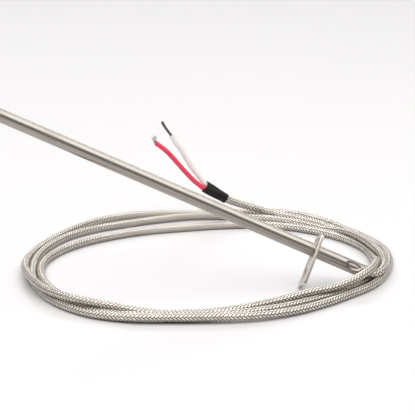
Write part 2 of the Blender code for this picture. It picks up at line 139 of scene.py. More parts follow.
fourth_turn = [
    (0.0149, -0.0770, 0.0023), (0.0240, -0.0739, 0.0021), (0.0330, -0.0694, 0.0020),
    (0.0424, -0.0636), (0.0518, -0.0560), (0.0570, -0.0516), (0.0621, -0.0476), (0.0666, -0.0438),
    (0.0709, -0.0404, 0.0022), (0.0742, -0.0364, 0.0026), (0.0768, -0.0314, 0.0022),
    (0.0792, -0.0252), (0.0825, -0.0145), (0.0846, -0.0038), (0.0851, 0.0070), (0.0838, 0.0170),
    (0.0810, 0.0255), (0.0773, 0.0315), (0.0732, 0.0382), (0.0665, 0.0475), (0.0588, 0.0568),
    (0.0500, 0.0650), (0.0430, 0.0700), (0.0360, 0.0730, 0.0025), (0.0280, 0.0732, 0.0051),
    (0.0200, 0.0720, 0.0081), (0.0100, 0.0710, 0.0120),
]
free_end = [
    (0.0325, 0.0727, 0.0039), (0.0240, 0.0726, 0.0064), (0.0173, 0.0724, 0.0085),
    (0.0136, 0.0719, 0.0098), (0.0100, 0.0711, 0.0116), (0.0070, 0.0709, 0.0134),
    (0.0031, 0.0705, 0.0158),
]
# How the turns settle on each other. Places along the cable are followed every laid_step, and
# those nearer than turn_reach are looked at, but not a place's own neighbours on the cable.
settling_rounds = 900
following_rounds = 700
rounds_between_looks = 30
push_share = 0.9
follow_share = 0.02
smoothings = 6
smooth_share = 0.3
curve_steps = 12
laid_step = 0.002
turn_reach = 0.006
own_neighbours = 9
turn_gap = 0.00006
sheath_gap = 0.00005
sheath_push_share = 0.8
sheath_reach = 0.06
# The smooth curve's own points, closer together at the bend out of the mouth
bend_places = (0.0035, 0.007, 0.012, 0.019, 0.027)
turns_from = 0.036
turns_to_end = 0.045
turn_places = 88
# The turns settle with the sheath held this much higher, so its end sinks a little into the braid
sheath_raised = 0.00018


def even_points(route, spacing):
    """Points the same distance apart on the smooth curve through a route's own points."""
    knots = [Vector(place) for place in route]
    knots = [2 * knots[0] - knots[1], *knots, 2 * knots[-1] - knots[-2]]
    fine = [knots[1]]
    for before, start, end, after in zip(knots, knots[1:], knots[2:], knots[3:]):
        steps = max(4, round((end - start).length / spacing) * 4)
        for step in range(1, steps + 1):
            t = step / steps
            place = 2 * start + (end - before) * t
            place += (2 * before - 5 * start + 4 * end - after) * t * t
            place += (3 * start - before - 3 * end + after) * t * t * t
            fine.append(place / 2)
    total = sum((b - a).length for a, b in zip(fine, fine[1:]))
    count = max(2, round(total / spacing))
    points, gone = [fine[0]], 0.0
    for a, b in zip(fine, fine[1:]):
        reach = (b - a).length
        while len(points) < count and gone + reach >= total * len(points) / count:
            share = (total * len(points) / count - gone) / reach
            points.append(a.lerp(b, share))
        gone += reach
    points.append(fine[-1])
    return points


def lengths_along(points):
    """How far along its line each point lies."""
    return np.r_[0, np.cumsum(np.linalg.norm(np.diff(points, axis=0), axis=1))]


def places_along(points, marks):
    """The places on a line of points at these lengths along it."""
    gone = lengths_along(points)
    return np.stack([np.interp(marks, gone, points[:, axis]) for axis in range(3)], axis=1)


def curve_through(places):
    """A smooth line of points through given places, on the table where no height is given."""
    knots = np.array([(*place, cable_diameter / 2)[:3] for place in places])
    knots = np.vstack([2 * knots[0] - knots[1], knots, 2 * knots[-1] - knots[-2]])
    t = np.arange(curve_steps)[:, None] / curve_steps
    line = []
    for before, start, end, after in zip(knots, knots[1:], knots[2:], knots[3:]):
        part = 2 * start + (end - before) * t
        part = part + (2 * before - 5 * start + 4 * end - after) * t**2
        line.append((part + (3 * start - before - 3 * end + after) * t**3) / 2)
    return np.vstack([*line, knots[-2]])


def settled(placed):
    """The turns pushed off each other, the table and the sheath, and smoothed by their stiffness."""
    laid = placed.copy()
    mouth = np.array(sheath_mouth - coil_centre) + (0, 0, sheath_raised)
    up_sheath = np.array((-math.cos(sheath_lean), 0.0, math.sin(sheath_lean)))
    clear_turn = cable_diameter + turn_gap
    clear_sheath = sheath_radius + cable_diameter / 2 + sheath_gap
    for turn in range(settling_rounds):
        if turn % rounds_between_looks == 0:
            apart = np.linalg.norm(laid[:, None] - laid, axis=2)
            one, other = np.nonzero(np.triu(apart < turn_reach, own_neighbours))
        across = laid[other] - laid[one]
        apart = np.linalg.norm(across, axis=1)
        close = apart < clear_turn
        shove = across[close] * ((clear_turn / apart[close] - 1) / 2)[:, None]
        shoves, count = np.zeros_like(laid), np.zeros(len(laid))
        for ends, way in ((other[close], 1), (one[close], -1)):
            np.add.at(shoves, ends, shove * way)
            np.add.at(count, ends, 1)
        laid += shoves / np.maximum(count, 1)[:, None] * push_share
        if turn < following_rounds:
            laid += (placed - laid) * follow_share
        for smoothing in range(smoothings):
            bend = np.zeros_like(laid)
            bend[1:-1] = (laid[:-2] + laid[2:]) / 2 - laid[1:-1]
            laid[2:-2] -= ((bend[1:-3] + bend[3:-1]) / 2 - bend[2:-2]) * smooth_share
        laid[:, 2] = np.maximum(laid[:, 2], cable_diameter / 2)
        outside = laid[6:]
        along = (outside - mouth) @ up_sheath
        off_sheath = outside - mouth - np.outer(np.maximum(along, 0), up_sheath)
        apart = np.linalg.norm(off_sheath, axis=1)
        hits = (along > -0.001) & (along < sheath_reach) & (apart < clear_sheath)
        # Only the turns that lie on others come near the sheath
        hits &= outside[:, 2] > 0.0045
        push = (clear_sheath / apart[hits] - 1) * sheath_push_share
        outside[hits] += off_sheath[hits] * push[:, None]
        # Both ends stay where the sheath and the sleeve hold them
        laid[:2], laid[-7:] = placed[:2], placed[-7:]
    return laid


def from_coil(places):
    """Places from the middle of the coil, put on the table where no height is given."""
    return [coil_centre + Vector((*place, cable_diameter / 2)[:3]) for place in places]


def show(name, mesh, material, cad_nodes):
    """The finished piece, which rides on the probe's one body in place of its CAD solids."""
    mesh.materials.append(material)
    piece = bpy.data.objects.new(name, mesh)
    bpy.context.scene.collection.objects.link(piece)
    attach(piece, "root")
    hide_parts(*cad_nodes)
    return piece


def tube_mesh(name, points, radius, sides):
    """A round tube along points. Its UV map goes once round in U and in metres along in V."""
    curve = bpy.data.curves.new(name, "CURVE")
    curve.dimensions = "3D"
    curve.bevel_depth = radius
    curve.bevel_resolution = sides // 2 - 2
    curve.use_fill_caps = True
    spline = curve.splines.new("POLY")
    spline.points.add(len(points) - 1)
    for point, place in zip(spline.points, points):
        point.co = (*place, 1.0)
    holder = bpy.data.objects.new(name, curve)
    bpy.context.scene.collection.objects.link(holder)
    depsgraph = bpy.context.evaluated_depsgraph_get()
    mesh = bpy.data.meshes.new_from_object(holder.evaluated_get(depsgraph))
    bpy.data.objects.remove(holder)
    length = sum((b - a).length for a, b in zip(points, points[1:]))
    for corner in mesh.uv_layers.active.data:
        corner.uv = (corner.uv.y, corner.uv.x * length)
    mesh.shade_smooth()
    mesh.set_sharp_from_angle(angle=math.radians(40))
    return mesh


def new_material(name, metallic):
    """A material with its node tree and its Principled shader, to be wired by its maker."""
    material = bpy.data.materials.new(name)
    material.use_nodes = True
    shader = material.node_tree.nodes["Principled BSDF"]
    shader.inputs["Metallic"].default_value = metallic
    return material, material.node_tree, shader


def feed(tree, socket, term):
    """Puts a number or a colour on a socket, or joins another node's output to it."""
    if isinstance(term, bpy.types.NodeSocket):
        tree.links.new(term, socket)
    else:
        socket.default_value = term


def maths(tree, operation, *terms):
    """The result of a Math node on numbers or on other nodes' outputs."""
    node = tree.nodes.new("ShaderNodeMath")
    node.operation = operation
    for socket, term in zip(node.inputs, terms):
        feed(tree, socket, term)
    return node.outputs[0]


def fade(tree, value, low, high):
    """A soft step: 0 where the value is under low and 1 where it is over high."""
    node = tree.nodes.new("ShaderNodeMapRange")
    node.interpolation_type = "SMOOTHSTEP"
    feed(tree, node.inputs["Value"], value)
    node.inputs["From Min"].default_value = low
    node.inputs["From Max"].default_value = high
    return node.outputs["Result"]


def blend_colours(tree, share, first, second):
    """The first colour where the share is 0, and the second where it is 1."""
    node = tree.nodes.new("ShaderNodeMix")
    node.data_type = "RGBA"
    feed(tree, node.inputs["Factor"], share)
    for socket, colour in zip((node.inputs[6], node.inputs[7]), (first, second)):
        feed(tree, socket, colour)
    return node.outputs[2]


def noise(tree, vector, scale, detail=3.0):
    """Cloudy noise, with about as many clouds to the metre as its scale."""
    node = tree.nodes.new("ShaderNodeTexNoise")
    feed(tree, node.inputs["Vector"], vector)
    node.inputs["Scale"].default_value = scale
    node.inputs["Detail"].default_value = detail
    return node.outputs["Fac"]


def bump(tree, shader, height, strength, distance):
    """Raises a surface by a height of 0 to 1, which stands for the distance in metres."""
    node = tree.nodes.new("ShaderNodeBump")
    node.inputs["Strength"].default_value = strength
    node.inputs["Distance"].default_value = distance
    feed(tree, node.inputs["Height"], height)
    tree.links.new(node.outputs["Normal"], shader.inputs["Normal"])


def object_place(tree):
    """Object coordinates, which are the same as the scene's own because no piece is moved."""
    return tree.nodes.new("ShaderNodeTexCoord").outputs["Object"]


def new_group(name, inputs, outputs):
    """An empty node group: inputs and outputs are pairs of a socket's name and its kind."""
    tree = bpy.data.node_groups.new(name, "ShaderNodeTree")
    for socket, kind in inputs:
        tree.interface.new_socket(socket, in_out="INPUT", socket_type=kind)
    for socket, kind in outputs:
        tree.interface.new_socket(socket, in_out="OUTPUT", socket_type=kind)
    given = tree.nodes.new("NodeGroupInput").outputs
    made = tree.nodes.new("NodeGroupOutput").inputs
    return tree, given, made


def place_group(tree, group, **values):
    """A group in a material, with its own values. Input names are given with underscores."""
    node = tree.nodes.new("ShaderNodeGroup")
    node.node_tree = group
    for name, value in values.items():
        feed(tree, node.inputs[name.replace("_", " ")], value)
    return node.outputs


def hump(tree, share):
    """0 at both ends of a share and 1 in its middle."""
    return maths(
        tree, "MULTIPLY", maths(tree, "MULTIPLY", share, 4.0), maths(tree, "SUBTRACT", 1.0, share)
    )


# Flat ribbons of wires, each over two of the others and then under two, so that they show as
# rows of slanted stitches. Around and Along count ribbons.
braid_weave, given, made = new_group(
    "braid_weave",
    [("Around", "NodeSocketFloat"), ("Along", "NodeSocketFloat")],
    [("Height", "NodeSocketFloat"), ("Gap", "NodeSocketFloat"), ("Tone", "NodeSocketFloat")],
)
tree = braid_weave
rising = maths(tree, "ADD", given["Around"], given["Along"])
falling = maths(tree, "SUBTRACT", given["Around"], given["Along"])
rising_ribbon = maths(tree, "FLOOR", rising)
falling_ribbon = maths(tree, "FLOOR", falling)
crossing = maths(tree, "ADD", rising_ribbon, falling_ribbon)
fours = maths(tree, "MULTIPLY", crossing, 0.25)
falling_on_top = maths(tree, "GREATER_THAN", maths(tree, "FRACT", fours), 0.4)
second_half = maths(tree, "FRACT", maths(tree, "MULTIPLY", crossing, 0.5))
rising_share = maths(tree, "FRACT", rising)
falling_share = maths(tree, "FRACT", falling)
swap = maths(tree, "SUBTRACT", falling_share, rising_share)
across = maths(tree, "MULTIPLY_ADD", swap, falling_on_top, rising_share)
along = maths(tree, "SUBTRACT", falling_share, maths(tree, "MULTIPLY", swap, falling_on_top))
along = maths(tree, "MULTIPLY_ADD", along, 0.5, second_half)
across_hump = hump(tree, across)
along_hump = hump(tree, along)
ribbon = maths(tree, "POWER", across_hump, 0.45)
lift = maths(tree, "POWER", along_hump, 0.6)
wave = maths(tree, "SINE", maths(tree, "MULTIPLY", across, math.pi * wires_in_ribbon))
single_wires = maths(tree, "ABSOLUTE", wave)
height = maths(tree, "MULTIPLY", ribbon, maths(tree, "MULTIPLY_ADD", lift, 0.6, 0.4))
feed(tree, made["Height"], maths(tree, "MULTIPLY_ADD", single_wires, wire_ridge, height))
covered = fade(tree, maths(tree, "MAXIMUM", across_hump, along_hump), 0.10, 0.62)
feed(tree, made["Gap"], maths(tree, "SUBTRACT", 1.0, covered))
# Every stitch has a tone of its own, the same on both sides of the seam where Around starts
ribbon_swap = maths(tree, "SUBTRACT", falling_ribbon, rising_ribbon)
ribbon_on_top = maths(tree, "MULTIPLY_ADD", ribbon_swap, falling_on_top, rising_ribbon)
half_ribbon = maths(tree, "MULTIPLY", ribbon_on_top, 0.5)
ribbon_number = maths(tree, "FLOORED_MODULO", ribbon_on_top, float(ribbons_round_cable))
numbers = tree.nodes.new("ShaderNodeCombineXYZ")
feed(tree, numbers.inputs["X"], ribbon_number)
feed(tree, numbers.inputs["Y"], maths(tree, "SUBTRACT", maths(tree, "FLOOR", fours), half_ribbon))
feed(tree, numbers.inputs["Z"], falling_on_top)
chance_tone = tree.nodes.new("ShaderNodeTexWhiteNoise")
tree.links.new(numbers.outputs[0], chance_tone.inputs["Vector"])
feed(tree, made["Tone"], chance_tone.outputs["Value"])


def paint_braid(tree, shader, around, along):
    """Bright stainless wires with painted shade between the wires and between the ribbons, and a
    little tarnish here and there.
    """
    weave = place_group(tree, braid_weave, Around=around, Along=along)
    tarnish = fade(tree, noise(tree, object_place(tree), 45.0), 0.40, 0.75)
    tarnish = maths(tree, "MULTIPLY", tarnish, 0.2)
    dullness = maths(tree, "MULTIPLY_ADD", weave["Tone"], 0.8, tarnish)
    wire_colour = blend_colours(tree, dullness, wire_bright, wire_dull)
    # Painted shade: where the weave is low, between the single wires and at the ribbons' edges, the
    # wires are painted dark
    on_top = fade(tree, weave["Height"], 0.54, 0.92)
    wire_colour = blend_colours(tree, on_top, painted_shade_between_wires, wire_colour)
    # Painted shade: the gaps between the ribbons are painted near black
    braid_colour = blend_colours(tree, weave["Gap"], wire_colour, painted_shade_between_ribbons)
    feed(tree, shader.inputs["Base Color"], braid_colour)
    feed(tree, shader.inputs["Roughness"], maths(tree, "MULTIPLY_ADD", weave["Gap"], 0.4, 0.38))
    bump(tree, shader, weave["Height"], 1.0, 0.00028)


braid, tree, shader = new_material("steel_braid", 1.0)
wound = tree.nodes.new("ShaderNodeSeparateXYZ")
tree.links.new(tree.nodes.new("ShaderNodeTexCoord").outputs["UV"], wound.inputs[0])
paint_braid(
    tree,
    shader,
    maths(tree, "MULTIPLY", wound.outputs["X"], float(ribbons_round_cable)),
    maths(tree, "DIVIDE", wound.outputs["Y"], braid_pitch),
)

four_turns = curve_through(first_turn + second_turn + third_turn + fourth_turn)
placed_length = lengths_along(four_turns)[-1]
laid_marks = np.linspace(0, placed_length, round(placed_length / laid_step) + 1)
laid = settled(places_along(four_turns, laid_marks))
turns_end = lengths_along(laid)[-1] - turns_to_end
marks = np.r_[bend_places, np.linspace(turns_from, turns_end, turn_places)]
turns = places_along(laid, marks)
# The route is rounded to a tenth of a millimetre, as finely as its turns can be read
cable_route = from_coil([*out_of_mouth, *np.round(turns, 4).tolist(), *free_end])
cable_points = even_points(cable_route, cable_step)
for point in cable_points:
    point.z = max(point.z, cable_diameter / 2)
cable = show(
    "braided_cable",
    tube_mesh("braided_cable", cable_points, cable_diameter / 2, cable_sides),
    braid,
    cad_nodes=("cable_exit", "cable_coil", "cable_free_end"),
)


# Sheath

# A drawn stainless tube, closed at the tip by a rounded weld. Near its open end a press has
# driven an oval dimple through the wall into the braid, and that holds the cable.

sheath_wall = 0.00071
sheath_sides = 96
insertion_length = 0.203
tail_length = 0.0278
crimp_x = 0.0193
crimp_length = 0.0082
crimp_width = 0.0046
crimp_depth = 0.0009
# Shares of the oval: the middle that is pressed to the full depth, and the wall round it
crimp_floor = 0.66
crimp_wall = 0.32
crimp_rings = 50
tip_rings = 14
steel_clean = (0.372, 0.338, 0.308, 1)
steel_smudged = (0.318, 0.286, 0.258, 1)
steel_drawn = (0.420, 0.388, 0.358, 1)
tab_centre = Vector((0.07939048, 0.002625, 0.01667035))
# Along the probe: +X to the open end, +Z up the tab, -Y to the side with the crimp
probe_lean = Matrix.Rotation(sheath_lean, 4, "Y")
probe_turn = probe_lean @ Matrix.Rotation(math.radians(-30), 4, "X")
probe_frame = Matrix.Translation(tab_centre) @ probe_turn


def soft_step(value):
    """0 up to 0 and 1 from 1 on, with a smooth rise between."""
    value = min(max(value, 0.0), 1.0)
    return value * value * (3 - 2 * value)


def turned(profile, sides):
    """A bmesh of a profile of (x, radius) points, turned once about the X axis."""
    bm = bmesh.new()
    points = [bm.verts.new((x, 0.0, radius)) for x, radius in profile]
    edges = [bm.edges.new(pair) for pair in zip(points, points[1:])]
    bmesh.ops.spin(
        bm, geom=points + edges, cent=(0, 0, 0), axis=(1, 0, 0),
        angle=math.tau, steps=sides, use_merge=True,
    )
    bmesh.ops.remove_doubles(bm, verts=bm.verts, dist=0.000001)
    bmesh.ops.recalc_face_normals(bm, faces=bm.faces)
    return bm


def mesh_in_place(name, bm, place, crease):
    """The bmesh as a mesh with its place applied, shaded smooth but for its sharp edges."""
    bmesh.ops.transform(bm, matrix=place, verts=bm.verts)
    mesh = bpy.data.meshes.new(name)
    bm.to_mesh(mesh)
    bm.free()
    mesh.shade_smooth()
    mesh.set_sharp_from_angle(angle=math.radians(crease))
    return mesh


def probe_coordinates(tree):
    """Object coordinates, turned to run along the probe from the middle of its tab."""
    node = tree.nodes.new("ShaderNodeMapping")
    node.vector_type = "TEXTURE"
    node.inputs["Location"].default_value = tab_centre
    node.inputs["Rotation"].default_value = probe_turn.to_euler()
    tree.links.new(object_place(tree), node.inputs["Vector"])
    return node.outputs["Vector"]


def stretched(tree, vector, scale):
    """Coordinates scaled differently each way, so that a noise on them becomes lines."""
    node = tree.nodes.new("ShaderNodeVectorMath")
    node.operation = "MULTIPLY"
    tree.links.new(vector, node.inputs[0])
    node.inputs[1].default_value = scale
    return node.outputs[0]


def give_wall(piece, thickness):
    """Thickens a surface inwards."""
    wall = piece.modifiers.new("wall", "SOLIDIFY")
    wall.thickness = thickness
    wall.offset = -1


def round_edges(piece, name, width, segments):
    """Takes the sharpness off the edges at a piece's cut ends."""
    rim = piece.modifiers.new(name, "BEVEL")
    rim.width = width
    rim.segments = segments
    rim.limit_method = "ANGLE"
    rim.angle_limit = math.radians(60)


# What hands and the bench leave on steel: soft smudges, and long fine scratches
handling_marks, given, made = new_group(
    "handling_marks",
    [
        ("Vector", "NodeSocketVector"),
        ("Smudges", "NodeSocketFloat"),
        ("Scratches", "NodeSocketFloat"),
    ],
    [
        ("Roughness", "NodeSocketFloat"),
        ("Scratch", "NodeSocketFloat"),
        ("Smudge", "NodeSocketFloat"),
    ],
)
tree = handling_marks
smudge = fade(tree, noise(tree, given["Vector"], 70.0, 4.0), 0.45, 0.72)
scratch_field = noise(tree, stretched(tree, given["Vector"], (60.0, 900.0, 700.0)), 2.2, 2.0)
scratch = fade(tree, scratch_field, 0.66, 0.78)
smudge = maths(tree, "MULTIPLY", smudge, given["Smudges"])
scratch = maths(tree, "MULTIPLY", scratch, given["Scratches"])
scratch_roughness = maths(tree, "MULTIPLY", scratch, 0.2)
feed(tree, made["Roughness"], maths(tree, "MULTIPLY_ADD", smudge, 0.14, scratch_roughness))
feed(tree, made["Scratch"], scratch)
feed(tree, made["Smudge"], smudge)

drawn_steel, tree, shader = new_material("drawn_steel", 1.0)
place = probe_coordinates(tree)
marks = place_group(tree, handling_marks, Vector=place, Smudges=0.9, Scratches=0.6)
draw_lines = noise(tree, stretched(tree, place, (14.0, 7000.0, 7000.0)), 1.0, 3.0)
steel_colour = blend_colours(tree, marks["Smudge"], steel_clean, steel_smudged)
steel_colour = blend_colours(tree, fade(tree, draw_lines, 0.35, 0.75), steel_colour, steel_drawn)
feed(tree, shader.inputs["Base Color"], steel_colour)
drawn_roughness = maths(tree, "MULTIPLY_ADD", draw_lines, 0.10, 0.15)
feed(tree, shader.inputs["Roughness"], maths(tree, "ADD", marks["Roughness"], drawn_roughness))
bump(tree, shader, maths(tree, "SUBTRACT", draw_lines, marks["Scratch"]), 0.25, 0.00004)

profile = [
    (-insertion_length + sheath_radius * (1 - math.cos(turn)), sheath_radius * math.sin(turn))
    for turn in (math.pi / 2 * step / tip_rings for step in range(tip_rings + 1))
]
plain_rings = (-0.18, -0.15, -0.12, -0.09, -0.06, -0.03, -0.01, 0.0, 0.01)
profile += [(x, sheath_radius) for x in plain_rings]
crimp_span = crimp_length * 1.1
for step in range(crimp_rings + 1):
    profile.append((crimp_x - crimp_span / 2 + crimp_span * step / crimp_rings, sheath_radius))
profile += [(tail_length - 0.002, sheath_radius), (tail_length, sheath_radius)]
bm = turned(profile, sheath_sides)
for vert in bm.verts:
    radius = math.hypot(vert.co.y, vert.co.z)
    along_oval = (vert.co.x - crimp_x) / (crimp_length / 2)
    across_oval = math.atan2(vert.co.z, -vert.co.y) * sheath_radius / (crimp_width / 2)
    reach = math.hypot(along_oval, across_oval)
    depth = crimp_depth * (1 - soft_step((reach - crimp_floor) / crimp_wall))
    if radius > 0 and depth > 0:
        vert.co.y *= 1 - depth / radius
        vert.co.z *= 1 - depth / radius
sheath = show(
    "steel_sheath", mesh_in_place("steel_sheath", bm, probe_frame, 60), drawn_steel,
    cad_nodes=("sheath_tube",),
)
give_wall(sheath, sheath_wall)
round_edges(sheath, "rim", 0.00012, 3)


# Mounting tab

# A strip of stainless sheet, stamped with a round hole and a slot for a screw and tumbled until
# its edges are smooth. It is pushed along the sheath and brazed there.

tab_width = 0.011
tab_thickness = 0.0015
tab_above_axis = 0.0078
tab_below_axis = 0.0183
tab_corner = 0.0018
tab_edge = 0.00018
tab_hole_clearance = 0.0001
slot_length = 0.0072
slot_width = 0.0046
slot_low = -tab_below_axis + 0.0021
tab_clean = (0.68, 0.632, 0.585, 1)
tab_smudged = (0.58, 0.532, 0.488, 1)


def rounded_corners(bm, half_width, low, high, radius):
    """An outline in the plate's own plane, with its corners rounded by a bevel."""
    corners = [bm.verts.new((0, y, z)) for y, z in (
        (-half_width, low), (half_width, low), (half_width, high), (-half_width, high)
    )]
    for before, corner in zip(corners[-1:] + corners, corners):
        bm.edges.new((before, corner))
    bmesh.ops.bevel(
        bm, geom=corners, offset=radius, offset_type="OFFSET", affect="VERTICES",
        segments=10, profile=0.5, material=-1,
    )


tab_steel, tree, shader = new_material("sheet_steel", 1.0)
place = probe_coordinates(tree)
marks = place_group(tree, handling_marks, Vector=place, Smudges=1.0, Scratches=0.8)
rolled = noise(tree, stretched(tree, place, (600.0, 2400.0, 90.0)), 1.0, 3.0)
tab_colour = blend_colours(tree, marks["Smudge"], tab_clean, tab_smudged)
feed(tree, shader.inputs["Base Color"], tab_colour)
rolled_roughness = maths(tree, "MULTIPLY_ADD", rolled, 0.2, 0.16)
feed(tree, shader.inputs["Roughness"], maths(tree, "ADD", marks["Roughness"], rolled_roughness))
bump(tree, shader, maths(tree, "SUBTRACT", rolled, marks["Scratch"]), 0.25, 0.00004)

bm = bmesh.new()
rounded_corners(bm, tab_width / 2, -tab_below_axis, tab_above_axis, tab_corner)
stand_up = Matrix.Rotation(math.pi / 2, 4, "Y")
hole_radius = sheath_radius + tab_hole_clearance
bmesh.ops.create_circle(bm, segments=64, radius=hole_radius, matrix=stand_up)
rounded_corners(bm, slot_width / 2, slot_low, slot_low + slot_length, slot_width / 2 * 0.999)
bmesh.ops.remove_doubles(bm, verts=bm.verts, dist=0.000004)
bmesh.ops.translate(bm, vec=(-tab_thickness / 2, 0, 0), verts=bm.verts)
bmesh.ops.triangle_fill(bm, edges=bm.edges, use_beauty=True, use_dissolve=False)
bmesh.ops.recalc_face_normals(bm, faces=bm.faces)
lifted = bmesh.ops.extrude_face_region(bm, geom=list(bm.faces), use_keep_orig=True)["geom"]
lifted = [item for item in lifted if isinstance(item, bmesh.types.BMVert)]
bmesh.ops.translate(bm, vec=(tab_thickness, 0, 0), verts=lifted)
bmesh.ops.recalc_face_normals(bm, faces=bm.faces)
rims = [edge for edge in bm.edges if edge.calc_face_angle(0.0) > math.radians(60)]
bmesh.ops.bevel(
    bm, geom=rims, offset=tab_edge, offset_type="OFFSET", affect="EDGES",
    segments=3, profile=0.5, material=-1,
)
tab = show(
    "mounting_tab_plate", mesh_in_place("mounting_tab_plate", bm, probe_frame, 40), tab_steel,
    cad_nodes=("mounting_tab",),
)


# Black sleeve

# A short piece of heat-shrink tube. It is shrunk tight on the end of the braid, and its mouth
# was cut with scissors and stands open round the two leads.

sleeve_start = coil_centre + Vector((0.0098, 0.0711, 0.0117))
sleeve_end = coil_centre + Vector((-0.0014, 0.0700, 0.0188))
sleeve_axis = sleeve_end - sleeve_start
sleeve_wall = 0.00035
# Half the mouth's width: the way the leads lie apart, and the way that it is pinched
mouth_wide = 0.00315
mouth_pinched = 0.0023
rubber_black = (0.008, 0.0066, 0.0058, 1)
rubber_dusty = (0.020, 0.017, 0.015, 1)
touch = 0.0003
# The leads lie one before the other and one above the other in the sleeve's mouth
away = Vector((0, 1, 0))
leads_apart = (away.cross(sleeve_axis).normalized() + away).normalized()
sleeve_turn = sleeve_axis.to_track_quat("X", "Z").to_matrix().to_4x4()
sleeve_frame = Matrix.Translation(sleeve_start) @ sleeve_turn

shrink_black, tree, shader = new_material("black_shrink_tube", 0.0)
shader.inputs["Specular IOR Level"].default_value = 0.3
place = object_place(tree)
dust = fade(tree, noise(tree, place, 320.0, 4.0), 0.52, 0.78)
feed(tree, shader.inputs["Base Color"], blend_colours(tree, dust, rubber_black, rubber_dusty))
feed(tree, shader.inputs["Roughness"], maths(tree, "MULTIPLY_ADD", dust, 0.2, 0.44))
bump(tree, shader, noise(tree, place, 1400.0, 3.0), 0.3, 0.00006)

length = sleeve_axis.length
narrow = cable_diameter / 2 + touch + sleeve_wall
bm = turned([(length * step / 30, narrow) for step in range(31)], 48)
to_sleeve = sleeve_turn.inverted() @ leads_apart
spread_angle = math.atan2(to_sleeve.z, to_sleeve.y)
for vert in bm.verts:
    share = vert.co.x / length
    angle = math.atan2(vert.co.z, vert.co.y)
    opening = soft_step((share - 0.05) / 0.75)
    turn = angle - spread_angle
    oval = math.hypot(mouth_wide * math.cos(turn), mouth_pinched * math.sin(turn))
    wrinkle = 0.00005 * math.sin(7 * angle + 9 * share) * (1 - opening)
    ragged = 0.0004 * opening * math.cos(2 * turn)
    radius = narrow + (oval + 0.0001 - narrow) * opening + wrinkle
    vert.co = (vert.co.x + ragged * share, radius * math.cos(angle), radius * math.sin(angle))
sleeve = show(
    "black_sleeve", mesh_in_place("black_sleeve", bm, sleeve_frame, 50), shrink_black,
    cad_nodes=("heat_shrink_sleeve",),
)
give_wall(sleeve, sleeve_wall)


# Leads

# The cable's two wires in their soft insulation, red for the negative leg and white for the
# positive one. They come out of the sleeve side by side and bend up and apart.

red_diameter = 0.0025
white_diameter = 0.0028
# How far along the sleeve the leads start, as a share of its length
lead_start = 0.64
red_route = [
    (-0.0044, 0.0688, 0.0200), (-0.0072, 0.0687, 0.0224), (-0.0101, 0.0687, 0.0255),
    (-0.0130, 0.0688, 0.0287), (-0.0182, 0.0692, 0.0348), (-0.0214, 0.0695, 0.0381),
    (-0.0246, 0.0698, 0.0407), (-0.0270, 0.0700, 0.0424),
]
white_route = [
    (-0.0044, 0.0712, 0.0241), (-0.0089, 0.0710, 0.0301), (-0.0132, 0.0708, 0.0377),
    (-0.0163, 0.0706, 0.0422), (-0.0188, 0.0704, 0.0463),
]
for colour, side, route, diameter, shade, deep in (
    ("red", -1, red_route, red_diameter, (0.86, 0.060, 0.125, 1), (0.74, 0.040, 0.095, 1)),
    ("white", 1, white_route, white_diameter, (0.94, 0.92, 0.89, 1), (0.86, 0.83, 0.79, 1)),
):
    insulation, tree, shader = new_material(f"{colour}_insulation", 0.0)
    shader.inputs["Subsurface Weight"].default_value = 0.12
    shader.inputs["Subsurface Radius"].default_value = (1.0, 0.6, 0.5)
    shader.inputs["Subsurface Scale"].default_value = 0.0008
    place = object_place(tree)
    handled = fade(tree, noise(tree, place, 210.0, 4.0), 0.45, 0.8)
    feed(tree, shader.inputs["Base Color"], blend_colours(tree, handled, shade, deep))
    feed(tree, shader.inputs["Roughness"], maths(tree, "MULTIPLY_ADD", handled, 0.2, 0.30))
    bump(tree, shader, noise(tree, place, 900.0, 3.0), 0.25, 0.00008)
    offset = leads_apart * side * (red_diameter + touch) / 2
    knots = [sleeve_start + sleeve_axis * lead_start + offset, sleeve_end + offset]
    knots += from_coil(route)
    lead = show(
        f"{colour}_wire", tube_mesh(f"{colour}_wire", even_points(knots, 0.0006), diameter / 2, 24),
        insulation, cad_nodes=(f"{colour}_lead",),
    )
    round_edges(lead, "cut_end", 0.00018, 2)


# Stripped strands

# Seven drawn wires in each lead, of copper-nickel in the red one and of iron in the white, bared
# for a terminal. The red lead's have come apart, and the white's keep the twist of the cable.

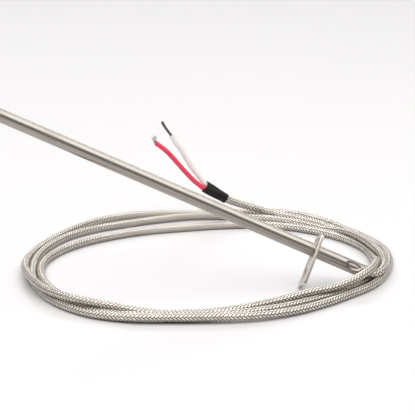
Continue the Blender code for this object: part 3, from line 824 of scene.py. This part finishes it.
strands_in_lead = 7
strand_shadow = (0.16, 0.145, 0.13, 1)
red_strand_route = [
    (-0.0262, 0.0700, 0.0418), (-0.0272, 0.0700, 0.0430), (-0.0279, 0.0700, 0.0457),
]
white_strand_route = [
    (-0.0186, 0.0704, 0.0460), (-0.0208, 0.0703, 0.0489), (-0.0226, 0.0702, 0.0517),
    (-0.0236, 0.0701, 0.0537),
]
for colour, route, thickness, spread, twist, metal, seed, slot in (
    ("red", red_strand_route, 0.00030, 4.6, 25, (0.80, 0.73, 0.64, 1), 7, "alloy_conductor"),
    ("white", white_strand_route, 0.00046, 0.12, 150, (0.25, 0.235, 0.22, 1), 4, "iron_conductor"),
):
    bare, tree, shader = new_material(f"{colour}_lead_metal", 1.0)
    dull = fade(tree, noise(tree, object_place(tree), 900.0), 0.35, 0.7)
    feed(tree, shader.inputs["Base Color"], blend_colours(tree, dull, metal, strand_shadow))
    feed(tree, shader.inputs["Roughness"], maths(tree, "MULTIPLY_ADD", dull, 0.25, 0.32))
    middle = even_points(from_coil(route), 0.00035)
    chance = random.Random(seed)
    whole = bmesh.new()
    for strand in range(strands_in_lead):
        # The last one is the core that the others lie round
        ring = 0.0 if strand == strands_in_lead - 1 else thickness
        start_turn = math.tau * strand / (strands_in_lead - 1)
        splay = spread * chance.uniform(0.4, 1.4)
        points = []
        for step, place in enumerate(middle):
            share = step / (len(middle) - 1)
            after = middle[min(step + 1, len(middle) - 1)]
            ahead = (after - middle[max(step - 1, 0)]).normalized()
            sideways = ahead.cross(away).normalized()
            forwards = ahead.cross(sideways).normalized()
            angle = start_turn + share * math.radians(twist)
            out = ring * (1 + splay * share)
            points.append(place + (sideways * math.cos(angle) + forwards * math.sin(angle)) * out)
        points = points[: len(points) - chance.randrange(0, 2)]
        whole.from_mesh(tube_mesh("strand", points, thickness / 2, 8))
    mesh = mesh_in_place(f"{colour}_strands", whole, Matrix.Identity(4), 40)
    show(
        f"{colour}_strands", mesh, bare, cad_nodes=(f"{colour}_lead_strands",),
    )


# Inside the sheath

# The braid's gripped end, the two insulated wires, their bare conductors welded in a bead, and
# the cement round it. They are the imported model's own solids, and only their finish is new.

gripped_braid, tree, shader = new_material("gripped_braid", 1.0)
turned_place = tree.nodes.new("ShaderNodeSeparateXYZ")
tree.links.new(probe_coordinates(tree), turned_place.inputs[0])
round_cable = maths(tree, "ARCTAN2", turned_place.outputs["Z"], turned_place.outputs["Y"])
paint_braid(
    tree,
    shader,
    maths(tree, "MULTIPLY", round_cable, ribbons_round_cable / math.tau),
    maths(tree, "DIVIDE", turned_place.outputs["X"], braid_pitch),
)


def inner_finish(name, metallic, roughness, grain, colour, other):
    """A finish for a hidden part: two near colours in a fine grain, with its bump."""
    material, tree, shader = new_material(name, metallic)
    grains = noise(tree, probe_coordinates(tree), grain, 4.0)
    mottled = blend_colours(tree, fade(tree, grains, 0.35, 0.7), (*colour, 1), (*other, 1))
    feed(tree, shader.inputs["Base Color"], mottled)
    rough = maths(tree, "MULTIPLY_ADD", grains, 0.2, roughness - 0.1)
    feed(tree, shader.inputs["Roughness"], rough)
    bump(tree, shader, grains, 0.3, 0.00005)
    return material


inner_finishes = {"cable_gripped_end": gripped_braid}
for node, name, metallic, roughness, grain, colour, other in (
    ("red_core_wire", "red_core", 0.0, 0.45, 900.0, (0.62, 0.02, 0.05), (0.48, 0.012, 0.035)),
    ("white_core_wire", "white_core", 0.0, 0.5, 900.0, (0.80, 0.78, 0.75), (0.68, 0.66, 0.62)),
    ("red_conductor_tip", "alloy_wire", 1.0, 0.38, 1500.0, (0.45, 0.40, 0.35), (0.30, 0.26, 0.23)),
    ("white_conductor_tip", "iron_wire", 1.0, 0.45, 1500.0, (0.30, 0.29, 0.28), (0.20, 0.19, 0.18)),
    ("junction_bead", "welded_bead", 1.0, 0.35, 1200.0, (0.40, 0.36, 0.33), (0.22, 0.20, 0.19)),
    ("tip_cement", "ceramic_cement", 0.0, 0.85, 1800.0, (0.78, 0.75, 0.68), (0.64, 0.61, 0.54)),
):
    inner_finishes[node] = inner_finish(name, metallic, roughness, grain, colour, other)
for node, material in inner_finishes.items():
    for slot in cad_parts[node].material_slots:
        slot.material = material


# Studio

# A white table top, painted smooth and much larger than the picture. It is lit by one broad
# softbox overhead and a weaker one behind, and pale air all round fills the shadows.

floor_size = 6.0
floor_tint = (0.695, 0.69, 0.70, 1)
floor_other_tint = (0.715, 0.71, 0.715, 1)
air_colour = (1.0, 0.985, 0.97, 1)
air_strength = 0.36
floor_white, tree, shader = new_material("white_floor", 0.0)
shader.inputs["Roughness"].default_value = 0.45
clouds = noise(tree, object_place(tree), 3.0)
feed(tree, shader.inputs["Base Color"], blend_colours(tree, clouds, floor_tint, floor_other_tint))
bm = bmesh.new()
bmesh.ops.create_grid(bm, x_segments=1, y_segments=1, size=floor_size)
floor_mesh = bpy.data.meshes.new("floor")
bm.to_mesh(floor_mesh)
bm.free()
floor_mesh.materials.append(floor_white)
floor = bpy.data.objects.new("floor", floor_mesh)
bpy.context.scene.collection.objects.link(floor)


def softbox(name, place, target, width, depth, power, colour):
    """A rectangular area light that faces its target. Its power is in watts."""
    light = bpy.data.lights.new(name, "AREA")
    light.shape = "RECTANGLE"
    light.size = width
    light.size_y = depth
    light.energy = power
    light.color = colour
    lamp = bpy.data.objects.new(name, light)
    lamp.location = place
    lamp.rotation_euler = (Vector(target) - Vector(place)).to_track_quat("-Z", "Y").to_euler()
    bpy.context.scene.collection.objects.link(lamp)


softbox(
    "overhead_softbox", place=(0.0, -0.33, 1.5), target=(0.0, -0.33, 0.0),
    width=3.0, depth=2.3, power=42.0, colour=(1.0, 0.99, 0.98),
)
softbox(
    "back_softbox", place=(0.0, 2.6, 1.6), target=(0.0, 0.9, 0.0),
    width=3.0, depth=0.8, power=28.0, colour=(1.0, 0.995, 0.985),
)

world = bpy.data.worlds.new("studio_air")
world.use_nodes = True
background = world.node_tree.nodes["Background"]
background.inputs["Color"].default_value = air_colour
background.inputs["Strength"].default_value = air_strength
bpy.context.scene.world = world
bpy.context.scene.view_settings.view_transform = "Standard"
